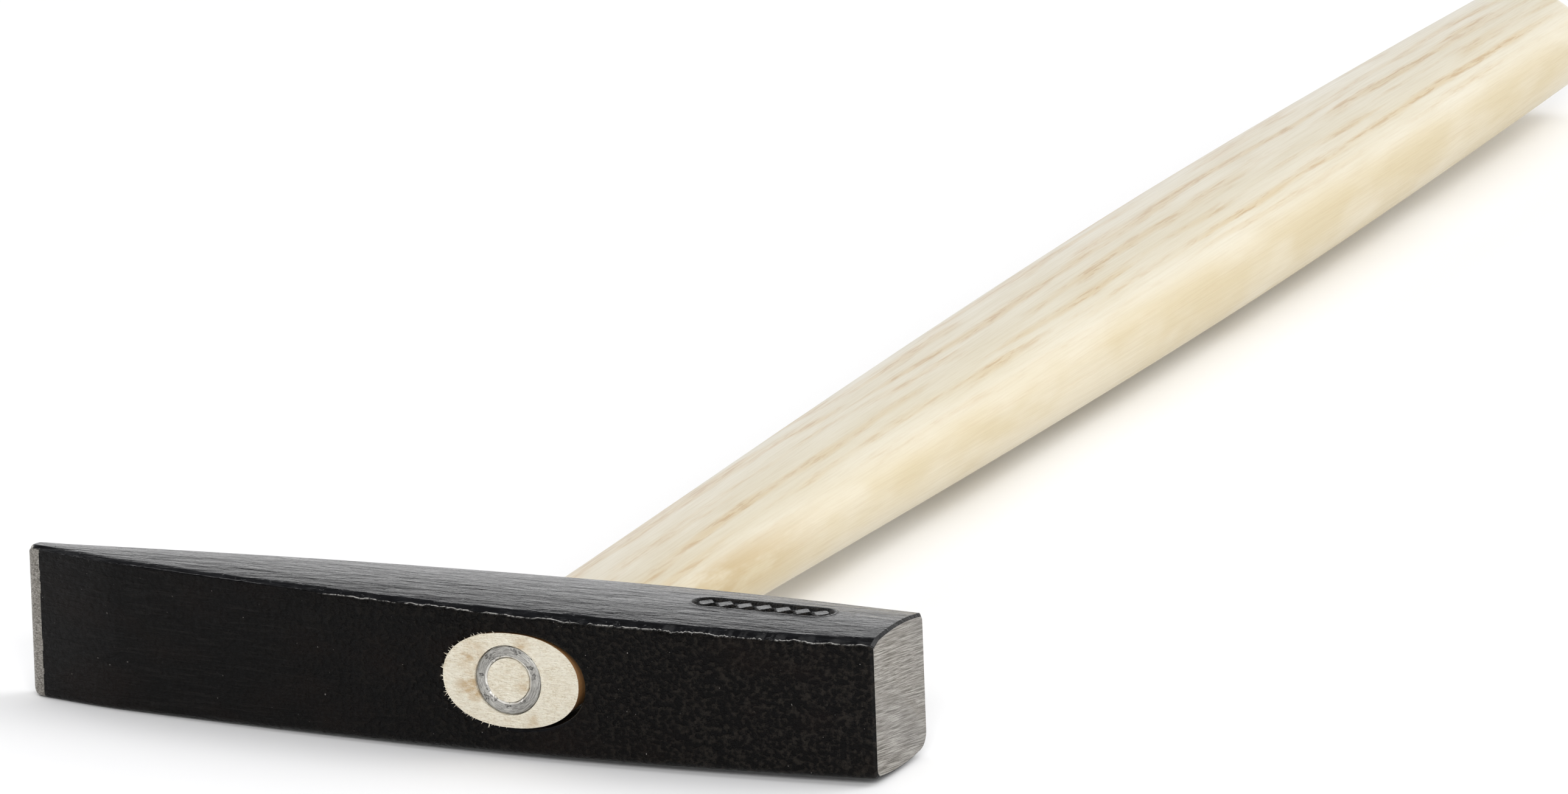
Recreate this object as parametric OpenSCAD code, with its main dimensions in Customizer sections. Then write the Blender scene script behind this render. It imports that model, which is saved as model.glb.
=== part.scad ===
// Cross-pein hammer: a slim forged head wedged with a steel ring onto an ash handle.
// The striking face is centred on the origin and faces +X, the pein is towards -X,
// the handle runs along +Y, and the two cheeks face +Z and -Z.

/* [Head] */
// Length of the head, from the striking face to the pein's edge
head_length = 131.9; // [110:0.1:160]
// Height of the head across its cheeks, along the edges of the striking face
face_height = 19.5; // [16.2:0.1:26]
// Depth of the striking face, from the eye's mouth side to the handle side
face_depth = 17.3; // [14:0.1:21]
// Depth of the head at its thickest place
belly_depth = 21.4; // [17.5:0.1:27]
// Distance from the striking face to the thickest place
belly_from_face = 38; // [30:1:48]
// Rise of each cheek's middle above its edges, at the striking face
cheek_crown = 0.7; // [0:0.1:1.5]
// Drop of each cheek from the mouth side to the handle side, the forging's draft
cheek_draft = 0.3; // [0:0.05:0.8]
// Radius of the head's four long edges
edge_radius = 1.2; // [0.6:0.1:1.3]
// Width of the bevel round the striking face
face_bevel = 0.4; // [0.2:0.1:0.8]

/* [Pein] */
// Thickness that the forging tapers to at the pein, before it is ground
pein_thickness = 4.5; // [3.6:0.1:7]
// Amount that the pein's cheeks flare out, on each side
pein_flare = 1.1; // [0:0.1:2]
// Length of the slope ground on the mouth side of the pein
grind_length = 15; // [8:1:25]
// Depth of that slope at the pein's edge
grind_depth = 1.4; // [0.5:0.1:2]
// Radius of the pein's edge
tip_radius = 1; // [0.4:0.1:1.2]

/* [Eye] */
// Distance from the striking face to the middle of the eye
eye_from_face = 53.7; // [44:0.1:65]
// Height of the middle of the eye above the middle of the face
eye_rise = 0.35; // [0:0.05:0.8]
// Length of the eye at its mouths, along the head
eye_length = 21.8; // [17:0.1:27]
// Width of the eye at its mouths, across the cheeks
eye_width = 13.8; // [11.5:0.1:14.8]
// Amount that the eye is narrower in the middle than at its mouths
eye_waist = 0.8; // [0:0.1:1.5]
// Gap left between the tenon and the eye, on the striking face's side
eye_gap = 1; // [0:0.1:2]
// Clearance between the tenon and the eye, everywhere else
tenon_clearance = 0.1; // [0.1:0.05:0.3]

/* [Maker's stamp] */
// Length of the pill-shaped recess in the upper cheek
stamp_length = 21; // [12:1:24]
// Width of the recess
stamp_width = 5; // [3:0.5:7]
// Depth of the recess below the cheek's crown
stamp_depth = 0.35; // [0.2:0.05:0.6]
// Distance from the striking face to the recess's middle
stamp_from_face = 21; // [16:0.5:26]
// Distance of the recess's middle from the head's, towards the handle
stamp_shift = 2; // [0:0.1:2.4]

/* [Handle] */
// Length of the handle, from the tenon's end to the butt
handle_length = 360; // [290:5:440]
// Width of the handle just behind the head, along the head
neck_width = 19.6; // [16:0.1:24]
// Thickness of the handle just behind the head, across the cheeks
neck_thickness = 13.2; // [11:0.1:16]
// Width of the grip where it swells most
grip_width = 25.2; // [21:0.1:31]
// Thickness of the grip where it swells most
grip_thickness = 18.6; // [15:0.1:19.4]
// Distance from the middle of the head to the widest part of the grip
grip_from_head = 220; // [180:5:260]
// Width of the handle at its butt
butt_width = 19.8; // [16:0.1:24]
// Thickness of the handle at its butt
butt_thickness = 15.6; // [13:0.1:19]
// Rounding of the butt's rim
butt_rounding = 4; // [2:0.5:6]
// Depth of the tenon's end below the mouth of the eye
tenon_recess = 0.2; // [0:0.1:1]

/* [Ring wedge] */
// Outer diameter of the ring at its rim
ring_outer = 9.9; // [8:0.1:12]
// Inner diameter of the ring at its rim
ring_inner = 6.4; // [4.5:0.1:7.4]
// Depth of the ring in the wood
ring_depth = 12; // [8:0.5:14]
// Thickness of the ring's driving edge
ring_edge = 0.6; // [0.4:0.1:1]
// Bevel on the ring's rim
ring_bevel = 0.15; // [0.1:0.05:0.3]
// Depth of the ring's rim below the end grain
ring_sink = 0.1; // [0:0.05:0.5]
// Gap between the ring and the wood on each side of it
kerf_gap = 0.08; // [0.02:0.01:0.2]
// Distance of the ring from the eye's middle, towards the pein
ring_offset = 0.9; // [0:0.1:1.2]

/* [Hidden] */

// How gradually the head narrows towards the pein, flares there and is ground there
pein_taper = 1.8;
pein_flare_taper = 1.6;
grind_taper = 1.5;
// How gradually the handle swells to the grip and narrows to the butt
swell_taper = 1.2;
butt_taper = 1.7;
// Most of the head's half depth that an edge's radius may take up
edge_share = 0.8;
// Squareness of the ovals of the eye and the handle, where 2 is an ellipse
oval_power = 2.2;

// Height over which the tenon widens to the neck, where the eye is narrower than the neck
shoulder_rise = 0.05;

// Counts of the flats that stand for each curve
head_sections = 44;
corner_steps = 4;
cheek_steps = 8;
oval_steps = 48;
eye_sections = 10;
tenon_sections = 8;
swell_sections = 14;
butt_sections = 10;
round_sections = 6;
circle_facets = 96;

// Distance that a cutting shape runs past what it cuts
overrun = 2;

eye_x = -eye_from_face;
ring_x = eye_x - ring_offset;
handle_x = eye_x - eye_gap / 2;
belly_half = belly_depth / 2;
mouth_y = -forged_half(eye_from_face);
tenon_y = mouth_y + tenon_recess;
butt_y = tenon_y + handle_length;
rim_y = tenon_y + ring_sink;

function mix(a, b, t) = a + (b - a) * t;
function part(v, from, to) = max(0, min(1, (v - from) / (to - from)));

// Half the depth of the bare forging at distance s behind the striking face
function forged_half(s) =
    s < belly_from_face
    ? mix(belly_half, face_depth / 2, pow(1 - max(0, s) / belly_from_face, 2))
    : mix(belly_half, pein_thickness / 2, pow(part(s, belly_from_face, head_length), pein_taper));

// Amount taken off the sides by the bevel round the face and the rounding of the pein's edge
function end_trim(s) =
    max(0, min(face_bevel, face_bevel - s)) +
    tip_radius - sqrt(max(0, pow(tip_radius, 2) - pow(max(0, s - head_length + tip_radius), 2)));

function mouth_side(s) =
    let (ground = pow(part(s, head_length - grind_length, head_length), grind_taper))
    -forged_half(s) + end_trim(s) + grind_depth * ground;
function handle_side(s) = forged_half(s) - end_trim(s);

// Height of the upper cheek at distance s, with t running from -1 at the mouth side to 1
function cheek_z(s, t) =
    face_height / 2 + pein_flare * pow(part(s, 0, head_length), pein_flare_taper) - end_trim(s)
    - cheek_draft * (t + 1) / 2 + cheek_crown * (1 - t * t) * forged_half(s) / (face_depth / 2);

function arc(y, z, r, from) =
    [for (i = [0:corner_steps]) let (a = from + 90 * i / corner_steps) [y + r * cos(a), z + r * sin(a)]];

// Outline of the head at distance s: two crowned cheeks joined by four rounded edges
function head_outline(s) =
    let (
        front = mouth_side(s), back = handle_side(s), half = (back - front) / 2, middle = (back + front) / 2,
        r = min(edge_radius, half * edge_share), t = 1 - r / half,
        crown = [for (i = [1:cheek_steps - 1]) mix(t, -t, i / cheek_steps)],
        upper = [for (u = crown) [middle + half * u, cheek_z(s, u)]],
        lower = [for (u = crown) [middle - half * u, -cheek_z(s, -u)]]
    )
    concat(
        arc(back - r, cheek_z(s, t) - r, r, 0),
        upper,
        arc(front + r, cheek_z(s, -t) - r, r, 90),
        arc(front + r, r - cheek_z(s, -t), r, 180),
        lower,
        arc(back - r, r - cheek_z(s, t), r, 270)
    );

// Places of the head's outlines: past the face, along the body, and round the pein's edge
function head_stations() =
    concat(
        [-overrun, 0, face_bevel],
        [for (i = [1:head_sections]) mix(face_bevel, head_length - tip_radius, i / head_sections)],
        [for (i = [1:round_sections]) head_length - tip_radius + tip_radius * sin(90 * i / round_sections)]
    );

// A closed skin over a list of outlines that have the same number of points
module loft(outlines) {
    n = len(outlines[0]);
    last = len(outlines) - 1;
    sides = [
        for (i = [0:last - 1], j = [0:n - 1])
            [i * n + j, i * n + (j + 1) % n, (i + 1) * n + (j + 1) % n, (i + 1) * n + j]
    ];
    caps = [[for (j = [n - 1:-1:0]) j], [for (j = [0:n - 1]) last * n + j]];
    polyhedron([for (outline = outlines, p = outline) p], concat(sides, caps));
}

// Half the eye's length or width at y, given its size at the mouths
function eye_half(size, y) = size / 2 - eye_waist / 2 * (1 - pow(y / belly_half, 2));

function oval(x, y, half_x, half_z) =
    [
        for (i = [0:oval_steps - 1]) let (a = 360 * i / oval_steps, c = cos(a), s = sin(a))
            [
                x + half_x * sign(c) * pow(abs(c), 2 / oval_power),
                y,
                eye_rise + half_z * sign(s) * pow(abs(s), 2 / oval_power)
            ]
    ];

module eye() {
    loft([
        for (i = [0:eye_sections]) let (y = (belly_half + overrun) * (2 * i / eye_sections - 1))
            oval(eye_x, y, eye_half(eye_length, y), eye_half(eye_width, y))
    ]);
}

module stamp() {
    translate([-stamp_from_face, stamp_shift, cheek_z(stamp_from_face, 0) - stamp_depth])
        linear_extrude(overrun) {
            square([stamp_length - stamp_width, stamp_width], center = true);
            for (side = [-1, 1])
                translate([side * (stamp_length - stamp_width) / 2, 0])
                    circle(d = stamp_width, $fn = circle_facets);
        }
}

module head() {
    color([0.06, 0.06, 0.065])
        difference() {
            loft([for (s = head_stations()) [for (p = head_outline(s)) [-s, p[0], p[1]]]]);
            eye();
            stamp();
            translate([0, -belly_depth, -face_height])
                cube([overrun * 2, belly_depth * 2, face_height * 2]);
        }
}

// Half the handle's width or thickness at y, swelling from the neck to the grip and narrowing to the butt
function grip_half(neck, grip, butt, y) =
    y < grip_from_head
    ? mix(neck, grip, pow(sin(90 * part(y, belly_half, grip_from_head)), swell_taper)) / 2
    : mix(grip, butt, pow(part(y, grip_from_head, butt_y), butt_taper)) / 2;

// In the head the handle is also held inside the eye, and the wedge spreads its front half to fill it
function handle_half(eye_size, gap, neck, grip, butt, y) =
    let (held = eye_half(eye_size, y) - gap / 2 - tenon_clearance)
    y < 0 ? held
    : y < belly_half ? min(held, grip_half(neck, grip, butt, y))
    : grip_half(neck, grip, butt, y);

function handle_outline(y, trim) =
    oval(
        handle_x, y,
        handle_half(eye_length, eye_gap, neck_width, grip_width, butt_width, y) - trim,
        handle_half(eye_width, 0, neck_thickness, grip_thickness, butt_thickness, y) - trim
    );

function handle_stations() =
    concat(
        [for (i = [0:tenon_sections]) mix(tenon_y, 0, i / tenon_sections)],
        [for (i = [1:tenon_sections]) mix(0, belly_half - shoulder_rise, i / tenon_sections)],
        [for (i = [0:swell_sections]) mix(belly_half, grip_from_head, i / swell_sections)],
        [for (i = [1:butt_sections]) mix(grip_from_head, butt_y - butt_rounding, i / butt_sections)]
    );

// A ring's tapered cross-section, gap wider on each side and open for a height above its rim
module ring_section(gap, above, bevel) {
    edge_middle = (ring_inner + ring_outer) / 4;
    polygon([
        [ring_inner / 2 - gap, bevel],
        [ring_inner / 2 - gap + bevel, -above],
        [ring_outer / 2 + gap - bevel, -above],
        [ring_outer / 2 + gap, bevel],
        [edge_middle + ring_edge / 2 + gap, ring_depth],
        [edge_middle - ring_edge / 2 - gap, ring_depth]
    ]);
}

module ring(gap, above, bevel) {
    translate([ring_x, rim_y, eye_rise])
        rotate([-90, 0, 0])
            rotate_extrude($fn = circle_facets)
                ring_section(gap, above, bevel);
}

module handle() {
    rounded_end = [
        for (i = [1:round_sections]) let (a = 90 * i / round_sections)
            handle_outline(butt_y - butt_rounding * (1 - sin(a)), butt_rounding * (1 - cos(a)))
    ];
    color([0.87, 0.77, 0.58])
        difference() {
            loft(concat([for (y = handle_stations()) handle_outline(y, 0)], rounded_end));
            ring(kerf_gap, overrun, 0);
        }
}

module ring_wedge() {
    color([0.62, 0.63, 0.65])
        ring(0, 0, ring_bevel);
}

head();
handle();
ring_wedge();
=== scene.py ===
"""Looks of a cross-pein hammer: a lacquered forging, a steel ring wedge and an ash handle."""

import math

import bmesh
import bpy
import numpy as np
from mathutils import Matrix, Vector, noise


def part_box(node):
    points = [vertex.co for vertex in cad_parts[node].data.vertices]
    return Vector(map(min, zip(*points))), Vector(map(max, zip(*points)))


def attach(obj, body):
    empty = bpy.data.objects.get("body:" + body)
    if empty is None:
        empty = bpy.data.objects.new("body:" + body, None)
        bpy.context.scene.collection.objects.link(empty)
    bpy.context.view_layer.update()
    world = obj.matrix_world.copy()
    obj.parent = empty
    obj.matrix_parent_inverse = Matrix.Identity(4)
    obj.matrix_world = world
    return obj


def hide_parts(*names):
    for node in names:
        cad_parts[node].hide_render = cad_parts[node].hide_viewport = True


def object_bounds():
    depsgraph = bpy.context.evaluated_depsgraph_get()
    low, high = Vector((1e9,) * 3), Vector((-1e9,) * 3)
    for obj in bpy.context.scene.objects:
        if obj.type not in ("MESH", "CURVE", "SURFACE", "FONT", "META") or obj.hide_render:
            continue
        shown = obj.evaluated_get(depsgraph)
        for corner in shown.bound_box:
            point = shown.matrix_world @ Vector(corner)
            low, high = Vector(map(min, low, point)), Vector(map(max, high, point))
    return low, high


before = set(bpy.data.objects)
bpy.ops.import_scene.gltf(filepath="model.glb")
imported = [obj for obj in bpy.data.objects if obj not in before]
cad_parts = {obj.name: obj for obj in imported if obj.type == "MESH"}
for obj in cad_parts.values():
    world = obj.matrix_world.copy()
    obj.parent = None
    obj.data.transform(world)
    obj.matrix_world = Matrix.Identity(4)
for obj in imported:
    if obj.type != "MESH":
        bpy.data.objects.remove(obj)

CAD_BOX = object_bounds()
MM = 0.001

# ---------------------------------------------------------------------------------------------
# Sizes, in millimetres. Places come from the frame; the rest are the maker's own sizes.
# ---------------------------------------------------------------------------------------------

head_low, head_high = (np.array(corner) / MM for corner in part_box("head"))
handle_low, handle_high = (np.array(corner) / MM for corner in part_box("handle"))
ring_low, ring_high = (np.array(corner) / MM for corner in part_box("ring_wedge"))

HEAD_LENGTH = head_high[0] - head_low[0]
BELLY_HALF = (head_high[1] - head_low[1]) / 2
FACE_HEIGHT = 19.5
FACE_DEPTH = 17.3
BELLY_FROM_FACE = 38.0
CHEEK_CROWN = 0.7
CHEEK_DRAFT = 0.3
FACE_BEVEL = 0.4
PEIN_THICKNESS = 4.5
PEIN_TAPER = 1.8
PEIN_FLARE = 1.1
PEIN_FLARE_TAPER = 1.6
GRIND_LENGTH = 15.0
GRIND_DEPTH = 1.4
GRIND_TAPER = 1.5
TIP_RADIUS = 1.0
GROUND_STRIP = 2.1

RING_CENTRE = (ring_low + ring_high) / 2
RING_OUTER = ring_high[0] - ring_low[0]
RING_INNER = 6.4
RING_DEPTH = ring_high[1] - ring_low[1]
RING_EDGE = 0.6
RIM_Y = ring_low[1]
RING_STEPS = 97
RING_AROUND = 193
RIM_FILLET = 0.16
DENT_DEPTH = 0.10
KERF_GAP = 0.13
KERF_ABOVE = 1.5

EYE_FROM_RING = 0.9
EYE_X = RING_CENTRE[0] + EYE_FROM_RING
EYE_Z = RING_CENTRE[2]
EYE_LENGTH = 21.8
EYE_WIDTH = 13.8
EYE_WAIST = 0.8
EYE_GAP = 1.0
TENON_CLEARANCE = 0.1
OVAL_POWER = 2.2

TENON_Y = handle_low[1]
BUTT_Y = handle_high[1]
HANDLE_X = (handle_low[0] + handle_high[0]) / 2
GRIP_WIDTH = handle_high[0] - handle_low[0]
GRIP_THICKNESS = handle_high[2] - handle_low[2]
GRIP_Y = 220.0
NECK_WIDTH = 19.6
NECK_THICKNESS = 13.2
BUTT_WIDTH = 19.8
BUTT_THICKNESS = 15.6
BUTT_ROUNDING = 4.0
SWELL_TAPER = 1.2
BUTT_TAPER = 1.7
GRAIN_SPACING = 2.3
SAWN_AT_TENON = 0.15
SAWN_AT_BUTT = 0.4

STAMP_FROM_FACE = 21.0
STAMP_SHIFT = 2.0
STAMP_LENGTH = 21.0
STAMP_WIDTH = 5.0
STAMP_DEPTH = 0.35
STAMP_MARGIN = 1.2
LOZENGE_PITCH = 2.9
LOZENGE_HALF_LENGTH = 1.6
LOZENGE_HALF_WIDTH = 2.5
LOZENGE_HEIGHT = 0.36

ROLL_RUN = 1.8
ROLL_DROP = 0.34
ROLL_FOOT_INSET = 0.34
ROLL_UNEVEN = 0.14
SKIN_INSET = 0.03
SKIN_SWELL = 0.035
SKIN_RIPPLE = 0.02

FIBRE_COUNT = 110
FIBRE_RADIUS = 0.07
FIBRE_LENGTH = 0.7


def part(value, start, end):
    return np.clip((value - start) / (end - start), 0.0, 1.0)


def smooth(value, start, end):
    t = part(value, start, end)
    return t * t * (3 - 2 * t)


def placed(name, data):
    """A new object in the scene, at the origin."""
    thing = bpy.data.objects.new(name, data)
    bpy.context.scene.collection.objects.link(thing)
    return thing


# ---------------------------------------------------------------------------------------------
# Node trees
# ---------------------------------------------------------------------------------------------


class Tree:
    """Adds nodes to one tree. Each call returns the new node's output socket."""

    def __init__(self, tree):
        self.tree = tree

    def add(self, kind, inputs=None, out=0, **settings):
        node = self.tree.nodes.new(kind)
        for name, value in settings.items():
            setattr(node, name, value)
        for name, value in (inputs or {}).items():
            self.put(node.inputs[name], value)
        return node.outputs[out]

    def put(self, socket, item):
        """Links another node's output to an input, or sets the input to a plain value."""
        if isinstance(item, bpy.types.NodeSocket):
            self.tree.links.new(item, socket)
        else:
            socket.default_value = item

    def math(self, operation, *values):
        return self.add("ShaderNodeMath", dict(enumerate(values)), operation=operation)

    def vector(self, operation, *values):
        return self.add("ShaderNodeVectorMath", dict(enumerate(values)), operation=operation)

    def distance(self, where, point):
        return self.vector("DISTANCE", where, point).node.outputs["Value"]

    def xyz(self, x=0.0, y=0.0, z=0.0):
        return self.add("ShaderNodeCombineXYZ", {0: x, 1: y, 2: z})

    def axis(self, vector, index):
        return self.add("ShaderNodeSeparateXYZ", {0: vector}, out=index)

    def span(self, value, low, high, to_low=0.0, to_high=1.0, kind="SMOOTHSTEP"):
        node = self.tree.nodes.new("ShaderNodeMapRange")
        node.interpolation_type = kind
        for index, item in enumerate((value, low, high, to_low, to_high)):
            self.put(node.inputs[index], item)
        return node.outputs[0]

    def noise(self, where, scale, detail=3.0, rough=0.5, warp=0.0):
        return self.add(
            "ShaderNodeTexNoise",
            {"Vector": where, "Scale": scale, "Detail": detail, "Roughness": rough, "Distortion": warp},
        )

    def blend(self, factor, first, second):
        node = self.tree.nodes.new("ShaderNodeMix")
        node.data_type = "RGBA"
        for index, item in ((0, factor), (6, first), (7, second)):
            self.put(node.inputs[index], (*item, 1.0) if isinstance(item, tuple) else item)
        return node.outputs[2]

    def bump(self, height, distance):
        return self.add("ShaderNodeBump", {"Height": height, "Distance": distance, "Strength": 1.0})


def new_material(name, **shader_values):
    """A material, its tree, its Principled shader and its Object coordinate in millimetres."""
    material = bpy.data.materials.new(name)
    material.use_nodes = True
    tree = Tree(material.node_tree)
    shader = material.node_tree.nodes["Principled BSDF"]
    for socket, value in shader_values.items():
        shader.inputs[socket.replace("_", " ")].default_value = value
    place = tree.add("ShaderNodeTexCoord", out="Object")
    millimetres = tree.vector("SCALE", place)
    millimetres.node.inputs["Scale"].default_value = 1 / MM
    return material, tree, shader, millimetres


def stretched(tree, where, x=1.0, y=1.0, z=1.0):
    return tree.vector("MULTIPLY", where, (x, y, z))


# ---------------------------------------------------------------------------------------------
# Materials
# ---------------------------------------------------------------------------------------------


# Colours, in linear light.
SIDE_LACQUER = (0.0007, 0.0005, 0.0004)
# Painted sheen on the orange peel's high points.
PEEL_PAINTED_SHEEN = (0.0160, 0.0134, 0.0108)
DRAWN_STREAK = (0.012, 0.0105, 0.0095)
RUST_SHADE = (0.0080, 0.0040, 0.0026)
# Painted glints: small light specks on the lacquer.
PAINTED_GLINT_SPECK = (0.16, 0.15, 0.14)
RUN_OUT_DARK = (0.002, 0.002, 0.0024)
CHEEK_TINT = (0.010, 0.0105, 0.0125)
# Painted shade: the rolled edge's darker copy of the cheek tint.
ROLL_SHADED_TINT = (0.0030, 0.0034, 0.0045)
BARE_STEEL = (0.40, 0.39, 0.37)
GRIND_VALLEY = (0.14, 0.128, 0.112)
GRIND_RIDGE = (0.43, 0.41, 0.375)
GRIND_DEEP = (0.12, 0.11, 0.098)
GRIND_DULL = (0.21, 0.195, 0.17)
PIT_DARK = (0.03, 0.027, 0.024)
SCUFF_DARK = (0.19, 0.185, 0.172)
SCUFF_BRIGHT = (0.55, 0.54, 0.51)
DENT_DARK = (0.13, 0.127, 0.12)
LIP_BRIGHT = (0.85, 0.83, 0.79)
ASH_PALE = (0.635, 0.59, 0.475)
ASH_CREAM = (0.60, 0.545, 0.415)
# Partly the wood's tone, partly painted shade on the handle's lower side.
ASH_LOW_SIDE_SHADED = (0.57, 0.49, 0.33)
ASH_WARM = (0.52, 0.43, 0.25)
LATE_WOOD = (0.54, 0.405, 0.21)
LONG_PORE = (0.41, 0.25, 0.11)
NECK_STAIN = (0.43, 0.31, 0.135)
HAIR_GRAIN = (0.42, 0.33, 0.20)
# Painted shade on the wood inside the eye.
EYE_PAINTED_SHADE = (0.46, 0.23, 0.085)
END_DARK = (0.68, 0.60, 0.455)
END_PALE = (0.84, 0.79, 0.66)
END_PORE = (0.46, 0.37, 0.24)
END_BLOOM = (0.84, 0.80, 0.68)
END_STAIN = (0.47, 0.30, 0.125)
# Painted shade down the ring's kerf.
KERF_PAINTED_SHADE = (0.06, 0.028, 0.012)


def worn_through(t, where, shader, tone, rough):
    """Gives the shader its colour and gloss, with the burr's crest worn through to the steel."""
    bare = t.add("ShaderNodeAttribute", out="Fac", attribute_name="burr")
    bare = t.math("MULTIPLY", bare, t.span(t.noise(where, 2.8, 2.0), 0.36, 0.52, 0.15, 1.0))
    t.put(shader.inputs["Base Color"], t.blend(bare, tone, BARE_STEEL))
    t.put(shader.inputs["Roughness"], t.math("MULTIPLY_ADD", bare, 0.2, rough))


def lacquer_on_sides():
    """Thin black lacquer over the scale of a forging: fine orange peel, stronger round the eye. Painted
    sheen lightens the peel's high points, more towards the face, and painted glints fleck it.
    """
    material, t, shader, where = new_material(
        "lacquer_on_sides", IOR=1.35, Specular_IOR_Level=0.16, Roughness=0.3)
    peel = t.noise(stretched(t, where, 0.85, 1.0, 1.0), 1.5, 3.0, 0.5)
    grit = t.noise(where, 5.0, 3.0, 0.6)
    streaks = t.noise(stretched(t, where, 0.10, 0.6, 1.6), 1.5, 3.0, 0.55)
    eye = t.distance(where, (EYE_X, -BELLY_HALF, EYE_Z))
    near = t.span(eye, 8.0, 60.0, 1.0, 0.4)
    towards_pein = t.span(t.axis(where, 0), -60.0, -100.0)
    height = t.math("ADD", t.math("MULTIPLY", peel, near), t.math("MULTIPLY", grit, 0.22))
    drawn = t.math("MULTIPLY_ADD", towards_pein, 0.45, 0.12)
    height = t.math("ADD", height, t.math("MULTIPLY", streaks, drawn))
    t.tree.links.new(t.bump(height, 1.5 * MM), shader.inputs["Normal"])
    # Painted sheen: the peel's high points are lighter, more so towards the face.
    sheen_towards_face = t.span(t.axis(where, 0), -105.0, -15.0, 0.15, 1.0)
    painted_sheen = t.math("MULTIPLY", t.span(t.math("MULTIPLY_ADD", grit, 0.3, peel), 0.58, 0.86), sheen_towards_face)
    tone = t.blend(painted_sheen, SIDE_LACQUER, PEEL_PAINTED_SHEEN)
    lengthwise = t.span(streaks, 0.48, 0.75, 0.0, 0.5)
    tone = t.blend(t.math("MULTIPLY", lengthwise, towards_pein), tone, DRAWN_STREAK)
    rust = t.noise(stretched(t, where, 0.6, 1.0, 1.0), 0.13, 2.0)
    tone = t.blend(t.span(rust, 0.45, 0.75, 0.0, 0.45), tone, RUST_SHADE)
    # Painted glints: small light specks scattered over the lacquer.
    glint_specks = t.span(t.noise(where, 2.2, 1.0, 0.4), 0.79, 0.82)
    tone = t.blend(glint_specks, tone, PAINTED_GLINT_SPECK)
    worn_through(t, where, shader, tone, t.span(peel, 0.3, 0.7, 0.15, 0.27))
    return material


def run_out_lacquer(name, relief, gloss, tint_and_shade, index=1.52):
    """The same lacquer where it ran out smooth, with fine wavy lengthwise streaks. On the rolled edge
    its darker tint is painted shade.
    """
    material, t, shader, where = new_material(name, IOR=index, Roughness=0.3)
    wide = t.noise(stretched(t, where, 0.11, 0.6, 0.6), 1.0, 4.0, 0.6, 0.4)
    fine = t.noise(stretched(t, where, 0.22, 1.5, 1.5), 1.5, 4.0, 0.65, 0.5)
    pits = t.span(t.noise(stretched(t, where, 0.6, 1.0, 1.0), 1.3, 2.0, 0.5), 0.66, 0.72)
    height = t.math("ADD", t.math("MULTIPLY", wide, 0.9), t.math("MULTIPLY", fine, 0.10))
    height = t.math("SUBTRACT", height, t.math("MULTIPLY", pits, 0.25))
    t.tree.links.new(t.bump(height, relief * MM), shader.inputs["Normal"])
    tone = t.blend(t.span(fine, 0.35, 0.7), RUN_OUT_DARK, tint_and_shade)
    worn_through(t, where, shader, tone, t.span(fine, 0.3, 0.75, gloss, gloss + 0.16))
    return material


def ground_steel():
    """Bare steel off a belt: fine parallel lines across the head, small pits, a warm grey."""
    material, t, shader, where = new_material("ground_steel", Metallic=1.0, Roughness=0.42)
    x, y, z = (t.axis(where, index) for index in range(3))
    level = t.math("ADD", z, t.math("MULTIPLY", y, 0.12))
    ground = t.xyz(t.math("MULTIPLY", x, 2.0), t.math("MULTIPLY", y, 0.13), level)
    lines = t.noise(stretched(t, ground, 1.0, 1.0, 3.6), 1.5, 5.0, 0.7)
    deep = t.noise(stretched(t, ground, 1.0, 0.8, 2.0), 1.0, 3.0, 0.6)
    broad = t.noise(stretched(t, ground, 0.3, 1.1, 0.5), 0.8, 3.0)
    pits = t.span(t.noise(where, 2.4, 2.0, 0.6), 0.68, 0.74)
    tone = t.blend(t.span(lines, 0.36, 0.66), GRIND_VALLEY, GRIND_RIDGE)
    tone = t.blend(t.span(deep, 0.56, 0.70, 0.0, 0.55), tone, GRIND_DEEP)
    tone = t.blend(t.span(broad, 0.42, 0.66, 0.0, 0.45), tone, GRIND_DULL)
    tone = t.blend(t.math("MULTIPLY", pits, 0.85), tone, PIT_DARK)
    t.tree.links.new(tone, shader.inputs["Base Color"])
    height = t.math("SUBTRACT", lines, t.math("MULTIPLY", pits, 0.8))
    t.tree.links.new(t.bump(height, 0.06 * MM), shader.inputs["Normal"])
    t.tree.links.new(t.span(lines, 0.3, 0.7, 0.5, 0.34), shader.inputs["Roughness"])
    return material


def driven_steel():
    """The ring's rolled steel: dull, scuffed round its rim and dented by the drift."""
    material, t, shader, where = new_material("driven_steel", Metallic=1.0, Roughness=0.45)
    centred = t.vector("SUBTRACT", where, tuple(RING_CENTRE))
    x, z = t.axis(centred, 0), t.axis(centred, 2)
    turn = t.math("ARCTAN2", z, x)
    radius = t.math("SQRT", t.math("ADD", t.math("MULTIPLY", x, x), t.math("MULTIPLY", z, z)))
    round_way = t.xyz(t.math("MULTIPLY", turn, 2.0), t.axis(where, 1), t.math("MULTIPLY", radius, 5.0))
    scuffs = t.noise(round_way, 2.0, 4.0, 0.7, 0.5)
    dents = t.span(t.noise(where, 0.95, 2.0, 0.5), 0.60, 0.70)
    tone = t.blend(t.span(scuffs, 0.34, 0.66), SCUFF_DARK, SCUFF_BRIGHT)
    tone = t.blend(t.math("MULTIPLY", dents, 0.55), tone, DENT_DARK)
    from_lip = t.math("ABSOLUTE", t.math("SUBTRACT", radius, RING_INNER / 2 + RIM_FILLET))
    lip = t.span(from_lip, 0.05, 0.2, 0.8, 0.0)
    tone = t.blend(lip, tone, LIP_BRIGHT)
    t.tree.links.new(tone, shader.inputs["Base Color"])
    height = t.math("SUBTRACT", t.math("MULTIPLY", scuffs, 0.5), dents)
    t.tree.links.new(t.bump(height, 0.2 * MM), shader.inputs["Normal"])
    t.tree.links.new(t.span(scuffs, 0.3, 0.7, 0.34, 0.58), shader.inputs["Roughness"])
    return material


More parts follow.
